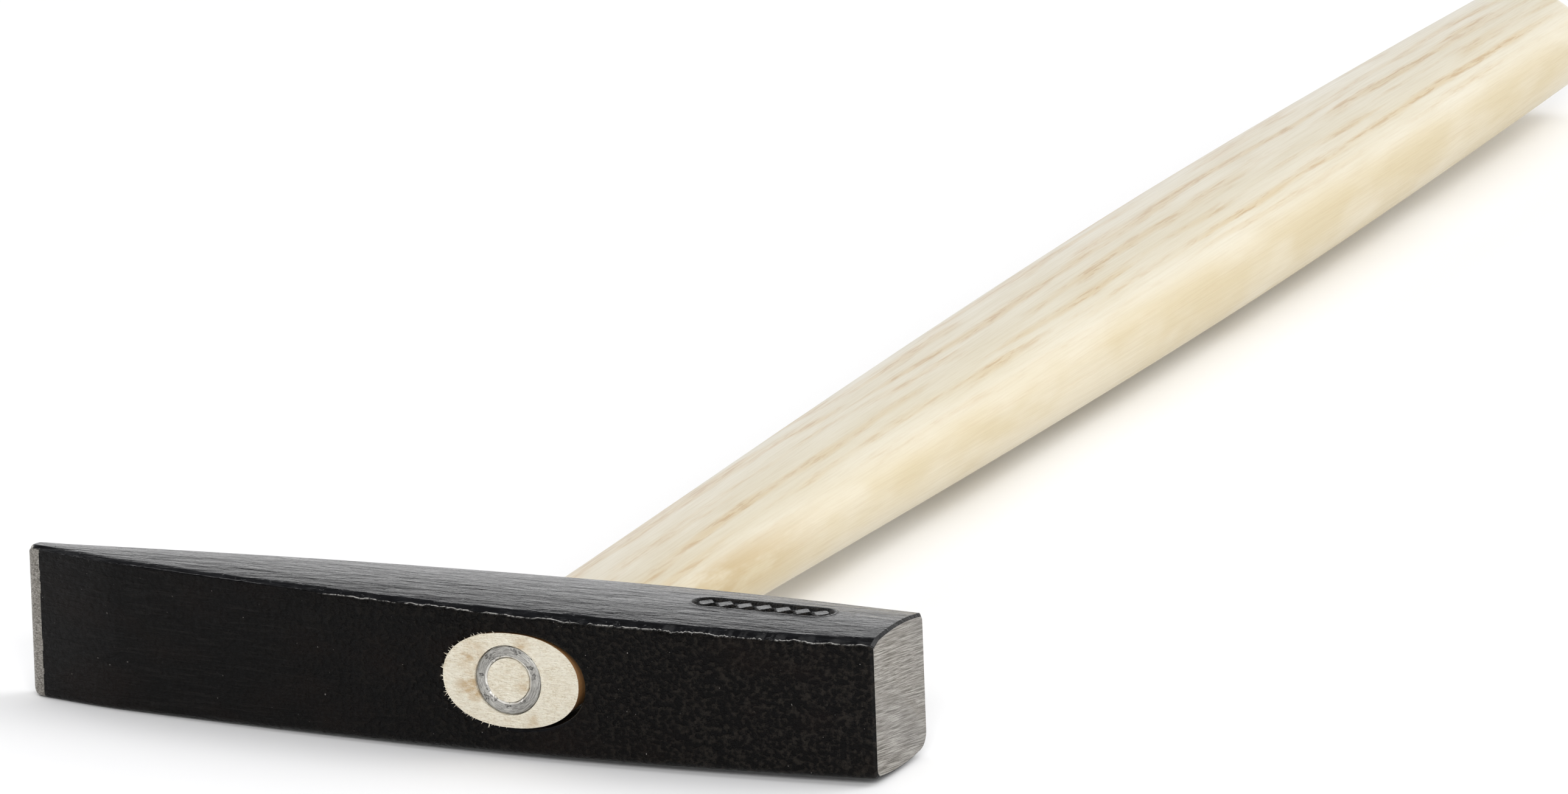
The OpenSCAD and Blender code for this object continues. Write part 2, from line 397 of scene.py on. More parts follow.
def oiled_ash():
    """Sanded pale ash under a satin finish, its grain along Y, darker and warmer down the striking
    face's side, partly the wood's tone and partly painted shade, with painted shade where it goes into
    the eye.
    """
    material, t, shader, where = new_material(
        "oiled_ash", Roughness=0.4, Coat_Weight=0.3, Coat_Roughness=0.32)
    x_off = t.math("SUBTRACT", t.axis(where, 0), HANDLE_X)
    z_off = t.math("SUBTRACT", t.axis(where, 2), EYE_Z)
    side = t.math("SUBTRACT", t.math("MULTIPLY", z_off, 0.84), t.math("MULTIPLY", x_off, 0.55))
    along = t.math("SUBTRACT", t.axis(where, 1), BELLY_HALF)
    drift = t.noise(stretched(t, where, 0.05, 0.011, 0.05), 1.0, 2.0)
    ripple = t.noise(stretched(t, where, 0.22, 0.03, 0.22), 1.0, 3.0, 0.5)
    sheets = t.math("MULTIPLY_ADD", drift, 6.0, side)
    sheets = t.math("MULTIPLY_ADD", ripple, 2.4, sheets)
    rings = t.math("SINE", t.math("MULTIPLY", sheets, 2 * math.pi / GRAIN_SPACING))
    shown = t.noise(stretched(t, where, 0.34, 0.024, 0.34), 1.0, 3.0)
    shown = t.math("MULTIPLY", t.span(shown, 0.36, 0.64), t.span(side, -2.5, 1.0, 0.08, 1.0))
    late = t.math("MULTIPLY", t.span(rings, -0.7, 1.0), shown)
    dashes = t.noise(stretched(t, where, 1.7, 0.13, 1.7), 1.0, 3.0, 0.65)
    dashes = t.math("MULTIPLY", t.span(dashes, 0.48, 0.64), t.math("MULTIPLY_ADD", late, 0.95, 0.05))
    patch = t.noise(stretched(t, where, 0.08, 0.026, 0.08), 1.0, 3.0, 0.55)
    # The lower side is darker and warmer: partly the wood's tone, partly painted shade.
    shaded_low_side = t.span(side, -0.5, -5.5)
    warm = t.math("MULTIPLY", t.span(patch, 0.36, 0.58), t.math("MULTIPLY_ADD", shaded_low_side, 0.95, 0.05))
    neck_patch = t.noise(stretched(t, where, 0.22, 0.05, 0.22), 1.0, 4.0, 0.6)
    neck = t.math("MULTIPLY", t.span(along, 72.0, 24.0), t.span(neck_patch, 0.32, 0.54))
    off_patch = t.math("ABSOLUTE", t.math("ADD", side, 4.2))
    neck = t.math("MULTIPLY", neck, t.span(off_patch, 4.2, 1.2, 0.12, 1.0))
    hair = t.noise(stretched(t, where, 4.0, 0.06, 4.0), 1.0, 3.0, 0.6)
    tone = t.blend(t.span(ripple, 0.3, 0.7), ASH_PALE, ASH_CREAM)
    tone = t.blend(t.math("MULTIPLY", shaded_low_side, 0.6), tone, ASH_LOW_SIDE_SHADED)
    tone = t.blend(t.math("MULTIPLY", warm, 0.85), tone, ASH_WARM)
    tone = t.blend(t.math("MULTIPLY", late, 0.6), tone, LATE_WOOD)
    tone = t.blend(t.math("MULTIPLY", dashes, 0.6), tone, LONG_PORE)
    tone = t.blend(t.math("MULTIPLY", neck, 0.9), tone, NECK_STAIN)
    tone = t.blend(t.span(hair, 0.42, 0.70, 0.0, 0.14), tone, HAIR_GRAIN)
    # Painted shade: the wood turns dark brown as it goes into the eye.
    shaded_in_eye = t.span(t.axis(where, 1), BELLY_HALF * 0.9, BELLY_HALF * 0.4)
    tone = t.blend(shaded_in_eye, tone, EYE_PAINTED_SHADE)
    t.tree.links.new(tone, shader.inputs["Base Color"])
    height = t.math("MULTIPLY_ADD", hair, -0.5, t.math("MULTIPLY", dashes, -0.6))
    t.tree.links.new(t.bump(height, 0.06 * MM), shader.inputs["Normal"])
    t.tree.links.new(t.span(hair, 0.3, 0.7, 0.34, 0.48), shader.inputs["Roughness"])
    return material


# X and Z from the ring's axis, where the spot is full, where it ends, and its strength.
STAIN_SPOTS = (
    (-5.6, -1.6, 0.4, 3.4, 0.9),
    (-5.2, 3.0, 0.2, 3.4, 0.8),
    (2.7, -0.3, 0.2, 2.2, 0.75),
    (2.2, 5.0, 0.2, 1.8, 0.6),
    (3.6, -5.6, 0.2, 2.0, 0.55),
)


def end_grain():
    """The sawn end of the tenon: pores and rays, with brown stain beside the ring, and painted shade
    that darkens the ring's kerf with depth.
    """
    material, t, shader, where = new_material("end_grain", Roughness=0.8)
    rays = t.noise(stretched(t, where, 0.5, 1.0, 2.8), 2.3, 4.0, 0.65)
    pores = t.noise(stretched(t, where, 0.8, 1.0, 1.3), 4.2, 3.0, 0.6)
    broad = t.noise(where, 0.35, 2.0)
    tone = t.blend(t.span(rays, 0.32, 0.62), END_DARK, END_PALE)
    tone = t.blend(t.span(pores, 0.52, 0.70, 0.0, 0.5), tone, END_PORE)
    tone = t.blend(t.span(broad, 0.45, 0.65, 0.0, 0.35), tone, END_BLOOM)
    stain = 0.0
    for x, z, inner, outer, strength in STAIN_SPOTS:
        middle = (RING_CENTRE[0] + x, RIM_Y, RING_CENTRE[2] + z)
        spot = t.span(t.distance(where, middle), inner, outer, strength, 0.0)
        stain = t.math("MAXIMUM", stain, spot)
    patches = t.noise(stretched(t, where, 0.55, 1.0, 0.9), 0.9, 4.0, 0.6)
    stain = t.math("MULTIPLY", stain, t.span(patches, 0.34, 0.66))
    tone = t.blend(stain, tone, END_STAIN)
    # Painted shade: the kerf's walls darken with depth.
    depth = t.span(t.axis(where, 1), TENON_Y + 0.25, TENON_Y + 2.5)
    depth = t.math("MULTIPLY", depth, t.math("LESS_THAN", t.axis(where, 1), BELLY_HALF))
    tone = t.blend(depth, tone, KERF_PAINTED_SHADE)
    t.tree.links.new(tone, shader.inputs["Base Color"])
    height = t.math("SUBTRACT", rays, t.math("MULTIPLY", pores, 0.7))
    t.tree.links.new(t.bump(height, 0.35 * MM), shader.inputs["Normal"])
    return material


# ---------------------------------------------------------------------------------------------
# Head
# ---------------------------------------------------------------------------------------------


def forged_half(s):
    """Half the depth of the bare forging at distance s behind the striking face."""
    poll = BELLY_HALF + (FACE_DEPTH / 2 - BELLY_HALF) * (1 - np.maximum(0, s) / BELLY_FROM_FACE) ** 2
    narrowed = part(s, BELLY_FROM_FACE, HEAD_LENGTH) ** PEIN_TAPER
    pein = BELLY_HALF + (PEIN_THICKNESS / 2 - BELLY_HALF) * narrowed
    return np.where(s < BELLY_FROM_FACE, poll, pein)


def end_trim(s):
    """What the face's bevel and the pein's rounded tip take off every side."""
    tip = np.maximum(0, s - HEAD_LENGTH + TIP_RADIUS)
    rounded = np.sqrt(np.maximum(0, TIP_RADIUS**2 - tip**2))
    return np.clip(FACE_BEVEL - s, 0, FACE_BEVEL) + TIP_RADIUS - rounded


def mouth_side(s):
    ground = part(s, HEAD_LENGTH - GRIND_LENGTH, HEAD_LENGTH) ** GRIND_TAPER
    return -forged_half(s) + end_trim(s) + GRIND_DEPTH * ground


def handle_side(s):
    return forged_half(s) - end_trim(s)


def cheek_z(s, t):
    flare = PEIN_FLARE * part(s, 0, HEAD_LENGTH) ** PEIN_FLARE_TAPER
    crown = CHEEK_CROWN * (1 - t * t) * forged_half(s) / (FACE_DEPTH / 2)
    return FACE_HEIGHT / 2 + flare - end_trim(s) - CHEEK_DRAFT * (t + 1) / 2 + crown


def roll_run(s):
    """How far the upper cheek rolls over, inwards from the mouth side's wall."""
    return ROLL_RUN + 0.3 * (1 - smooth(s, 44.0, 56.0))


def roll_drop(s):
    """How far that roll falls below the cheek, down to the burr left by the trimmed flash."""
    return ROLL_DROP + 0.20 * (1 - smooth(s, 44.0, 56.0)) + 0.12 * (1 - smooth(s, 70.0, 112.0))


def row_of_noise(s, per_mm, row, dimension=1.0, gap=2.0, octaves=3):
    """Fractal noise along the head, different for each row."""
    return np.array([
        noise.fractal(Vector((v * per_mm, *row)), dimension, gap, octaves) for v in s])


def burr(s):
    """The burr's height above the roll: ragged, in runs, from the face to beyond the eye."""
    fine = row_of_noise(s, 2.3, (3.1, 0.0), 0.7, 2.1, 4)
    runs = row_of_noise(s, 0.22, (9.2, 0.0))
    there = smooth(s, 0.4, 1.5) * (1 - smooth(s, 66.0, 90.0))
    return there * np.clip(0.14 + 0.17 * fine + 0.20 * runs, 0.01, 0.36)


ARC_STEPS = 9
ROLL_STEPS = 12
SIDE_STEPS = 24
LOWER_STEPS = 26
STAMP_ROWS = 46


def head_stations():
    """Distances behind the face, close together at the face, round the stamp and at the pein's edge."""
    stamp_start = STAMP_FROM_FACE - STAMP_LENGTH / 2 - STAMP_MARGIN
    stamp_end = STAMP_FROM_FACE + STAMP_LENGTH / 2 + STAMP_MARGIN
    tip = HEAD_LENGTH - TIP_RADIUS
    return np.concatenate([
        np.linspace(0, FACE_BEVEL, 4, endpoint=False),
        np.linspace(FACE_BEVEL, stamp_start, 22, endpoint=False),
        np.linspace(stamp_start, stamp_end, 138, endpoint=False),
        np.linspace(stamp_end, tip - 4, 190, endpoint=False),
        np.linspace(tip - 4, tip, 34, endpoint=False),
        tip + TIP_RADIUS * np.sin(np.linspace(0, math.pi / 2, 10)),
    ])


# Inward of the wall, share of the burr's height above the roll's foot, and depth below that foot.
BURR_PROFILE = (
    (0.28, 0.0, 0.24), (0.18, 0.2, 0.14), (0.13, 0.8, 0.0), (0.06, 1.0, 0.0),
    (-0.01, 0.7, 0.06), (-0.005, 0.2, 0.18), (0.0, 0.0, 0.45),
)


def head_surface(s):
    """Rings of points round the head: stations by points by YZ, and what each point belongs to."""
    front, back = mouth_side(s), handle_side(s)
    half, middle = (back - front) / 2, (back + front) / 2
    limit = half * 0.8
    near_face = 1 - smooth(s, 0.0, 20.0)
    run = np.minimum(roll_run(s), half * 0.6)
    radius = {
        "back_top": np.minimum(0.8, limit),
        "front_top": run,
        "front_bottom": np.minimum(1.1, limit),
        "back_bottom": np.minimum(1.2 + 1.0 * near_face, limit),
    }
    turn = {key: 1 - r / half for key, r in radius.items()}

    def corner(name, y_side, z_side, start):
        r = radius[name]
        y = (back if y_side > 0 else front) - y_side * r
        z = z_side * (cheek_z(s, y_side * turn[name]) - r)
        angles = [math.radians(start + 90 * step / (ARC_STEPS - 1)) for step in range(ARC_STEPS)]
        return [(name, y + r * math.cos(angle), z + r * math.sin(angle)) for angle in angles]

    def cheek(start, end, shares, side):
        places = [start + (end - start) * share for share in shares]
        return [("cheek", middle + half * t, side * cheek_z(s, t)) for t in places]

    def wall(first, last):
        (_, y0, z0), (_, y1, z1) = first, last
        shares = [step / SIDE_STEPS for step in range(1, SIDE_STEPS)]
        return [("wall", y0 + (y1 - y0) * share, z0 + (z1 - z0) * share) for share in shares]

    upper = np.concatenate([
        np.linspace(0, 0.21, 7)[1:],
        np.linspace(0.21, 0.63, STAMP_ROWS)[1:],
        np.linspace(0.63, 1, 12)[1:-1],
    ])
    lower = np.linspace(0, 1, LOWER_STEPS)[1:-1]
    rise = burr(s)
    drop = roll_drop(s)
    roll_top = cheek_z(s, -turn["front_top"])
    roll = []
    for step in range(ROLL_STEPS):
        share = step / (ROLL_STEPS - 1)
        fall = 1.3 * share**2 / (share + 0.3)
        inward = run - (run - ROLL_FOOT_INSET) * share
        roll.append(("roll", front + inward, roll_top - drop * fall))
    for inward, above, below in BURR_PROFILE:
        outward = 0.4 * rise if inward < 0 else 0.0
        roll.append(("burr", front + inward - outward, roll_top - drop + above * rise - below))

    top = corner("back_top", 1, 1, 0) + cheek(turn["back_top"], -turn["front_top"], upper, 1) + roll
    bottom = corner("front_bottom", -1, -1, 180)
    bottom += cheek(-turn["front_bottom"], turn["back_bottom"], lower, -1)
    bottom += corner("back_bottom", 1, -1, 270)
    outline = top + wall(top[-1], bottom[0]) + bottom + wall(bottom[-1], top[0])
    points = [
        np.stack([np.broadcast_to(y, s.shape), np.broadcast_to(z, s.shape)], -1)
        for _, y, z in outline
    ]
    return np.stack(points, 1), np.array([kind for kind, _, _ in outline])


def pill(x, y):
    """Distance outside the stamp's outline, negative inside, for places about its middle."""
    along = np.maximum(0, np.abs(x) - (STAMP_LENGTH - STAMP_WIDTH) / 2)
    return np.hypot(along, y) - STAMP_WIDTH / 2


def stamp_height(s, y):
    """Height of the cheek in and round the stamp: a rolled lip, a flat floor and a row of lozenges."""
    x = s - STAMP_FROM_FACE
    edge = pill(x, y)
    floor = -1.3 * STAMP_DEPTH * (1 - smooth(edge, -0.62, 0.10))
    lip = 0.07 * np.exp(-((edge - 0.3) / 0.22) ** 2)
    from_middle = np.abs(x / LOZENGE_PITCH - np.round(x / LOZENGE_PITCH)) * LOZENGE_PITCH
    outside = from_middle / LOZENGE_HALF_LENGTH + np.abs(y) / LOZENGE_HALF_WIDTH
    lozenge = 1 - smooth(outside, 0.74, 1.0)
    row = lozenge * smooth(-edge, 0.5, 0.8)
    return floor + lip + LOZENGE_HEIGHT * row


def fractal(points, scale, octaves=3):
    return np.array([noise.fractal(Vector(p * scale), 1.0, 2.0, octaves) for p in points])


def closed_skin(name, rings):
    """A mesh through rings of points, closed round each ring and capped at both ends."""
    count, around = rings.shape[:2]
    index = np.arange(count * around).reshape(count, around)
    a, b = index[:-1], index[1:]
    quads = np.stack([a, np.roll(a, -1, 1), np.roll(b, -1, 1), b], -1).reshape(-1, 4)
    faces = quads.tolist() + [index[0][::-1].tolist(), index[-1].tolist()]
    mesh = bpy.data.meshes.new(name)
    mesh.from_pydata((rings.reshape(-1, 3) * MM).tolist(), [], faces)
    mesh.update()
    return placed(name, mesh)


def face_outwards(piece, sharp_degrees=38.0, merge=0.0):
    """Turns every face outwards and shades it smooth, apart from edges sharper than the angle."""
    shape = bmesh.new()
    shape.from_mesh(piece.data)
    if merge:
        bmesh.ops.remove_doubles(shape, verts=shape.verts, dist=merge)
    bmesh.ops.recalc_face_normals(shape, faces=shape.faces)
    for face in shape.faces:
        face.smooth = True
    limit = math.radians(sharp_degrees)
    for edge in shape.edges:
        edge.smooth = len(edge.link_faces) == 2 and edge.calc_face_angle() < limit
    shape.to_mesh(piece.data)
    shape.free()
    piece.data.update()


def eye_half(size, y):
    return size / 2 - EYE_WAIST / 2 * (1 - (y / BELLY_HALF) ** 2)


def oval_way(angle):
    power = 2 / OVAL_POWER
    c, s = np.cos(angle), np.sin(angle)
    return np.sign(c) * np.abs(c) ** power, np.sign(s) * np.abs(s) ** power


def eye_cutter():
    """The eye's own shape, with a small rolled lip where it meets each side of the head."""
    angle = np.linspace(0, 2 * math.pi, 144, endpoint=False)
    way_x, way_z = oval_way(angle)
    lip = [(-1.5, 0.42), (0.0, 0.30), (0.06, 0.16), (0.16, 0.06), (0.34, 0.0)]
    rings = []

    def ring(y, wider):
        depth = y(EYE_X + 0 * angle)
        x = EYE_X + way_x * (eye_half(EYE_LENGTH, depth) + wider)
        z = EYE_Z + way_z * (eye_half(EYE_WIDTH, depth) + wider)
        rings.append(np.stack([x, y(x), z], -1))

    for off, wider in lip:
        ring(lambda x, off=off: mouth_side(-x) + off, wider)
    for share in np.linspace(-0.85, 0.85, 12):
        ring(lambda x, share=share: 0 * x + BELLY_HALF * share, 0.0)
    for off, wider in reversed(lip):
        ring(lambda x, off=off: handle_side(-x) - off, wider)
    return closed_skin("eye_cutter", np.array(rings))


def make_head(materials):
    s = head_stations()
    points, kinds = head_surface(s)
    count, around = points.shape[:2]
    place = np.concatenate([np.broadcast_to(-s[:, None, None], (count, around, 1)), points], -1)
    along, across = np.gradient(place, axis=0), (np.roll(place, -1, 1) - np.roll(place, 1, 1))
    normal = np.cross(along, across)
    normal /= np.maximum(np.linalg.norm(normal, axis=-1, keepdims=True), 1e-9)
    outward = np.sign((normal[..., 1] * points[..., 0] + normal[..., 2] * points[..., 1]).sum())
    normal *= outward
    flat = place.reshape(-1, 3)
    swell = fractal(flat * [0.45, 1.0, 1.0], 0.07).reshape(count, around)
    ripple = fractal(flat * [0.12, 0.6, 0.6], 0.9).reshape(count, around)
    calm = smooth(s, 0.3, 6.0)[:, None] * smooth(HEAD_LENGTH - s, 1.6, 5.0)[:, None]
    cheek = (kinds == "cheek")[None, :] * 1.0
    lift = -SKIN_INSET + SKIN_SWELL * swell * calm
    lift += SKIN_RIPPLE * ripple * calm * (0.4 + 0.6 * cheek)
    upper = cheek * (points[..., 1] > 0)
    place = place + normal * (lift * calm)[..., None]
    place[..., 2] += upper * stamp_height(s[:, None], place[..., 1] - STAMP_SHIFT)
    foot = np.cumsum(kinds == "roll") / ROLL_STEPS * np.isin(kinds, ("roll", "burr"))
    steps = row_of_noise(s, 0.5, (7.7, 1.0))
    steps *= smooth(s, 0.4, 3.0) * (1 - smooth(s, 80.0, 100.0))
    place[..., 2] += ROLL_UNEVEN * steps[:, None] * foot
    place[..., 1] = np.clip(place[..., 1], -BELLY_HALF, BELLY_HALF)
    place[..., 2] = np.clip(place[..., 2], head_low[2], head_high[2])
    crest = np.flatnonzero(kinds == "burr")[3]
    head = closed_skin("forged_head", place)
    face_outwards(head)
    cutter = eye_cutter()
    face_outwards(cutter)
    cut = head.modifiers.new("eye", "BOOLEAN")
    cut.operation = "DIFFERENCE"
    cut.solver = "EXACT"
    cut.object = cutter
    head = baked(head, "forged_head")
    bpy.data.objects.remove(cutter)
    face_outwards(head)
    for material in materials:
        head.data.materials.append(material)
    finish_head(head, s, burr(s), place[:, crest])
    return head


# Places in the head's list of materials.
SIDES, CHEEKS, GROUND, ROLL = range(4)


def finish_head(head, s, ridge, line):
    """Gives each face its finish, and marks how bare the ridge's metal is."""
    mesh = head.data
    points = np.empty(len(mesh.vertices) * 3)
    mesh.vertices.foreach_get("co", points)
    points = points.reshape(-1, 3) / MM
    near_y = np.interp(-points[:, 0], s, line[:, 1])
    near_z = np.interp(-points[:, 0], s, line[:, 2])
    tall = np.interp(-points[:, 0], s, ridge)
    off = np.hypot(points[:, 1] - near_y, points[:, 2] - near_z)
    bare = (1 - smooth(off, 0.07, 0.17)) * smooth(tall, 0.02, 0.12)
    mark = mesh.attributes.new("burr", "FLOAT", "POINT")
    mark.data.foreach_set("value", bare.astype(np.float32))
    finish = np.full(len(mesh.polygons), SIDES, dtype=np.int32)
    for polygon in mesh.polygons:
        centre, normal = polygon.center / MM, polygon.normal
        behind = -centre.x
        waver = 0.18 * noise.noise(Vector((centre.z * 0.5, 0.0, 5.0)))
        at_tip = behind > HEAD_LENGTH - GROUND_STRIP + waver and abs(normal.z) < 0.8
        if (normal.x > 0.9 and behind < 0.05) or at_tip:
            finish[polygon.index] = GROUND
        elif abs(normal.z) > 0.972:
            finish[polygon.index] = CHEEKS
        # The rolled edge takes the darker copy of the cheek lacquer: painted shade.
        elif normal.z > 0.3 and centre.y < 0:
            finish[polygon.index] = ROLL
    mesh.polygons.foreach_set("material_index", finish)


def baked(piece, name):
    """The piece with its modifiers applied, as a new plain mesh."""
    graph = bpy.context.evaluated_depsgraph_get()
    mesh = bpy.data.meshes.new_from_object(piece.evaluated_get(graph))
    mesh.name = name
    bpy.data.objects.remove(piece)
    return placed(name, mesh)


# ---------------------------------------------------------------------------------------------
# Ring wedge and handle, by Geometry Nodes
# ---------------------------------------------------------------------------------------------


def geometry_tree(name, sizes):
    """A tree with one named input for each size, in metres, and a geometry output."""
    tree = bpy.data.node_groups.new(name, "GeometryNodeTree")
    tree.interface.new_socket("Geometry", in_out="OUTPUT", socket_type="NodeSocketGeometry")
    sockets = {}
    for label, value in sizes.items():
        socket = tree.interface.new_socket(label, in_out="INPUT", socket_type="NodeSocketFloat")
        socket.default_value = value
        sockets[label] = socket
    source = tree.nodes.new("NodeGroupInput")
    inputs = {label: source.outputs[label] for label in sizes}
    return tree, Tree(tree), inputs, sockets


def end_tree(t, geometry, material):
    geometry = t.add("GeometryNodeRealizeInstances", {0: geometry})
    geometry = t.add("GeometryNodeSetMaterial", {"Geometry": geometry, "Material": material})
    out = t.tree.nodes.new("NodeGroupOutput")
    t.tree.links.new(geometry, out.inputs[0])


def grow(name, tree, sockets, sizes):
    """Runs a tree on an empty mesh and returns what it made as a plain piece."""
    holder = placed(name, bpy.data.meshes.new(name))
    modifier = holder.modifiers.new(name, "NODES")
    modifier.node_group = tree
    for label, value in sizes.items():
        modifier[sockets[label].identifier] = float(value)
    return baked(holder, name)


def unit_sheet(t, steps_along, steps_round):
    """A grid, with each point's share of the way along it and its angle round, one whole turn."""
    grid = t.add(
        "GeometryNodeMeshGrid",
        {"Size X": 1.0, "Size Y": 1.0, "Vertices X": steps_along, "Vertices Y": steps_round},
    )
    spot = t.add("GeometryNodeInputPosition")
    along = t.math("ADD", t.axis(spot, 0), 0.5)
    angle = t.math("MULTIPLY", t.math("ADD", t.axis(spot, 1), 0.5), 2 * math.pi)
    return grid, along, angle


def set_position(t, mesh, position=None, offset=None):
    inputs = {"Geometry": mesh}
    if position is not None:
        inputs["Position"] = position
    if offset is not None:
        inputs["Offset"] = offset
    return t.add("GeometryNodeSetPosition", inputs)


def merged(t, mesh, distance=0.001 * MM):
    return t.add("GeometryNodeMergeByDistance", {"Geometry": mesh, "Distance": distance})


def ring_sheet(t, size, gap, above, fillet):
    """A tapered ring turned round the tenon's axis, wider by gap on each side and taller by above."""
    inner = t.math("SUBTRACT", t.math("MULTIPLY", size["Inner Diameter"], 0.5), gap)
    outer = t.math("ADD", t.math("MULTIPLY", size["Outer Diameter"], 0.5), gap)
    middle = t.math("MULTIPLY", t.math("ADD", size["Inner Diameter"], size["Outer Diameter"]), 0.25)
    half_edge = t.math("ADD", t.math("MULTIPLY", size["Edge Thickness"], 0.5), gap)
    section = t.add(
        "GeometryNodeCurvePrimitiveQuadrilateral",
        {
            "Point 1": t.xyz(inner, -above),
            "Point 2": t.xyz(outer, -above),
            "Point 3": t.xyz(t.math("ADD", middle, half_edge), size["Ring Depth"]),
            "Point 4": t.xyz(t.math("SUBTRACT", middle, half_edge), size["Ring Depth"]),
        },
        mode="POINTS",
    )
    if fillet:
        section = t.add(
            "GeometryNodeFilletCurve",
            {"Curve": section, "Radius": fillet, "Limit Radius": True, "Count": 4},
            mode="POLY",
        )
    section = t.add("GeometryNodeResampleCurve", {"Curve": section, "Count": RING_STEPS})
    grid, along, angle = unit_sheet(t, RING_STEPS, RING_AROUND)
    sample = t.tree.nodes.new("GeometryNodeSampleCurve")
    sample.mode = "FACTOR"
    t.tree.links.new(section, sample.inputs["Curves"])
    t.tree.links.new(along, sample.inputs["Factor"])
    spot = sample.outputs["Position"]
    radius = t.axis(spot, 0)
    x = t.math("ADD", size["Ring X"], t.math("MULTIPLY", radius, t.math("COSINE", angle)))
    y = t.math("ADD", size["Rim Y"], t.axis(spot, 1))
    z = t.math("ADD", size["Ring Z"], t.math("MULTIPLY", radius, t.math("SINE", angle)))
    return merged(t, set_position(t, grid, t.xyz(x, y, z)))


RING_SIZES = {
    "Inner Diameter": RING_INNER * MM,
    "Outer Diameter": RING_OUTER * MM,
    "Edge Thickness": RING_EDGE * MM,
    "Ring Depth": RING_DEPTH * MM,
    "Ring X": RING_CENTRE[0] * MM,
    "Ring Z": RING_CENTRE[2] * MM,
    "Rim Y": RIM_Y * MM,
}


def make_ring(material):
    """The ring wedge, with dents from driving on its rim."""
    tree, t, size, sockets = geometry_tree("ring_wedge_maker", RING_SIZES)
    ring = ring_sheet(t, size, 0.0, 0.0, RIM_FILLET * MM)
    spot = t.add("GeometryNodeInputPosition")
    blows = t.noise(spot, 700.0, 2.0)
    depth = t.span(blows, 0.50, 0.70, 0.0, DENT_DEPTH * MM)
    at_rim = t.span(t.math("SUBTRACT", t.axis(spot, 1), size["Rim Y"]), 0.0, 0.8 * MM, 1.0, 0.0)
    push = t.xyz(0.0, t.math("MULTIPLY", depth, at_rim), 0.0)
    ring = set_position(t, ring, offset=push)
    end_tree(t, ring, material)
    ring = grow("steel_ring", tree, sockets, RING_SIZES)
    face_outwards(ring, 50.0)
    return ring


HANDLE_SIZES = {
    **RING_SIZES,
    "Tenon Y": TENON_Y * MM,
    "Butt Y": BUTT_Y * MM,
    "Axis X": HANDLE_X * MM,
    "Axis Z": EYE_Z * MM,
    "Eye Length": EYE_LENGTH * MM,
    "Eye Width": EYE_WIDTH * MM,
    "Head Half Depth": BELLY_HALF * MM,
    "Grip Y": GRIP_Y * MM,
    "Neck Width": NECK_WIDTH * MM,
    "Neck Thickness": NECK_THICKNESS * MM,
    "Grip Width": GRIP_WIDTH * MM,
    "Grip Thickness": GRIP_THICKNESS * MM,
    "Butt Width": BUTT_WIDTH * MM,
    "Butt Thickness": BUTT_THICKNESS * MM,
    "Butt Rounding": BUTT_ROUNDING * MM,
}
HANDLE_STATIONS = 430
HANDLE_AROUND = 145


# The cut leaves a few pairs of back-to-back slivers. Merging by this much removes them.
HANDLE_MERGE = 0.0001
HANDLE_SHARP_DEGREES = 42.0


def oval_wave(t, wave, angle):
    """A sine or cosine, swollen to the oval of the eye and the handle."""
    value = t.math(wave, angle)
    size = t.math("POWER", t.math("ABSOLUTE", value), 2 / OVAL_POWER)
    return t.math("MULTIPLY", t.math("SIGN", value), size)


def rim_fibres(t, size):
    """Slivers of torn grain that lean out over the eye's rim on the pein's side."""

    def random(low, high, seed):
        node = t.tree.nodes.new("FunctionNodeRandomValue")
        node.data_type = "FLOAT"
        node.inputs[2].default_value = low
        node.inputs[3].default_value = high
        node.inputs["Seed"].default_value = seed
        return node.outputs[1]

    turn = random(math.radians(98), math.radians(268), 11)
    inset = random(-0.40 * MM, -0.05 * MM, 12)
    way_x, way_z = oval_wave(t, "COSINE", turn), oval_wave(t, "SINE", turn)
    half_x = t.math("MULTIPLY_ADD", size["Eye Length"], 0.5, -(EYE_GAP / 2 + TENON_CLEARANCE) * MM)
    half_z = t.math("MULTIPLY_ADD", size["Eye Width"], 0.5, -TENON_CLEARANCE * MM)
    x = t.math("MULTIPLY_ADD", way_x, t.math("ADD", half_x, inset), size["Axis X"])
    z = t.math("MULTIPLY_ADD", way_z, t.math("ADD", half_z, inset), size["Axis Z"])
    y = t.math("ADD", size["Tenon Y"], random(-0.02 * MM, 0.10 * MM, 13))
    points = t.add(
        "GeometryNodePoints",
        {"Count": FIBRE_COUNT, "Position": t.xyz(x, y, z), "Radius": 0.1 * MM},
    )
    sliver = t.add(
        "GeometryNodeMeshCone",
        {
            "Vertices": 5,
            "Side Segments": 2,
            "Radius Top": 0.01 * MM,
            "Radius Bottom": FIBRE_RADIUS * MM,
            "Depth": FIBRE_LENGTH * MM,
        },
    )
    lean = t.xyz(
        t.math("ADD", t.math("COSINE", turn), random(-0.5, 0.5, 14)),
        random(-0.55, -0.12, 15),
        t.math("ADD", t.math("SINE", turn), random(-0.5, 0.5, 16)),
    )
    turned = t.add("FunctionNodeAlignRotationToVector", {"Vector": lean}, axis="Z")
    long = random(0.25, 1.0, 17)
    scale = t.xyz(random(0.5, 1.1, 18), random(0.5, 1.1, 19), long)
    return t.add(
        "GeometryNodeInstanceOnPoints",
        {"Points": points, "Instance": sliver, "Rotation": turned, "Scale": scale},
    )


